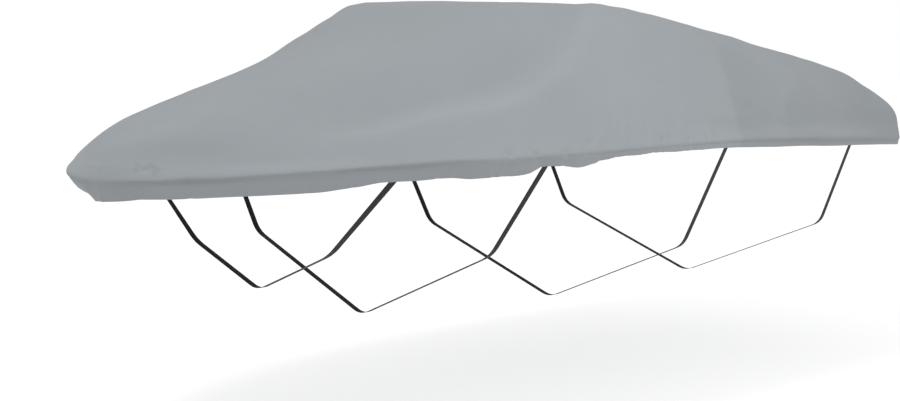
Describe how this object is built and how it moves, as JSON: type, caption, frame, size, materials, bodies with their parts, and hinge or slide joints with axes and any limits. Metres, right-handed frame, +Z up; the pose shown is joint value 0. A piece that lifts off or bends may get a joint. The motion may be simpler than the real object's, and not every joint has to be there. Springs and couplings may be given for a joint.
{
  "type": "boat cover",
  "caption": "Fitted trailering cover for a V-hull runabout: one sheet draped over the windscreen and drawn in under the rub rail, with belly straps round the hull.",
  "frame": {"origin": "inner face of the cloth under the highest part of the ridge, on the centre plane, where the boat's supporting pole meets it", "axes": "+X towards the boat's stern, +Y to starboard, +Z up"},
  "size_m": [5.4215, 2.394, 1.6519],
  "materials": {
    "canvas": "matte",
    "webbing": "matte"
  },
  "bodies": {
    "root": {"cover": "canvas", "strap_bow": "webbing", "strap_fore": "webbing", "strap_mid": "webbing", "strap_aft": "webbing"}
  },
  "joints": []
}
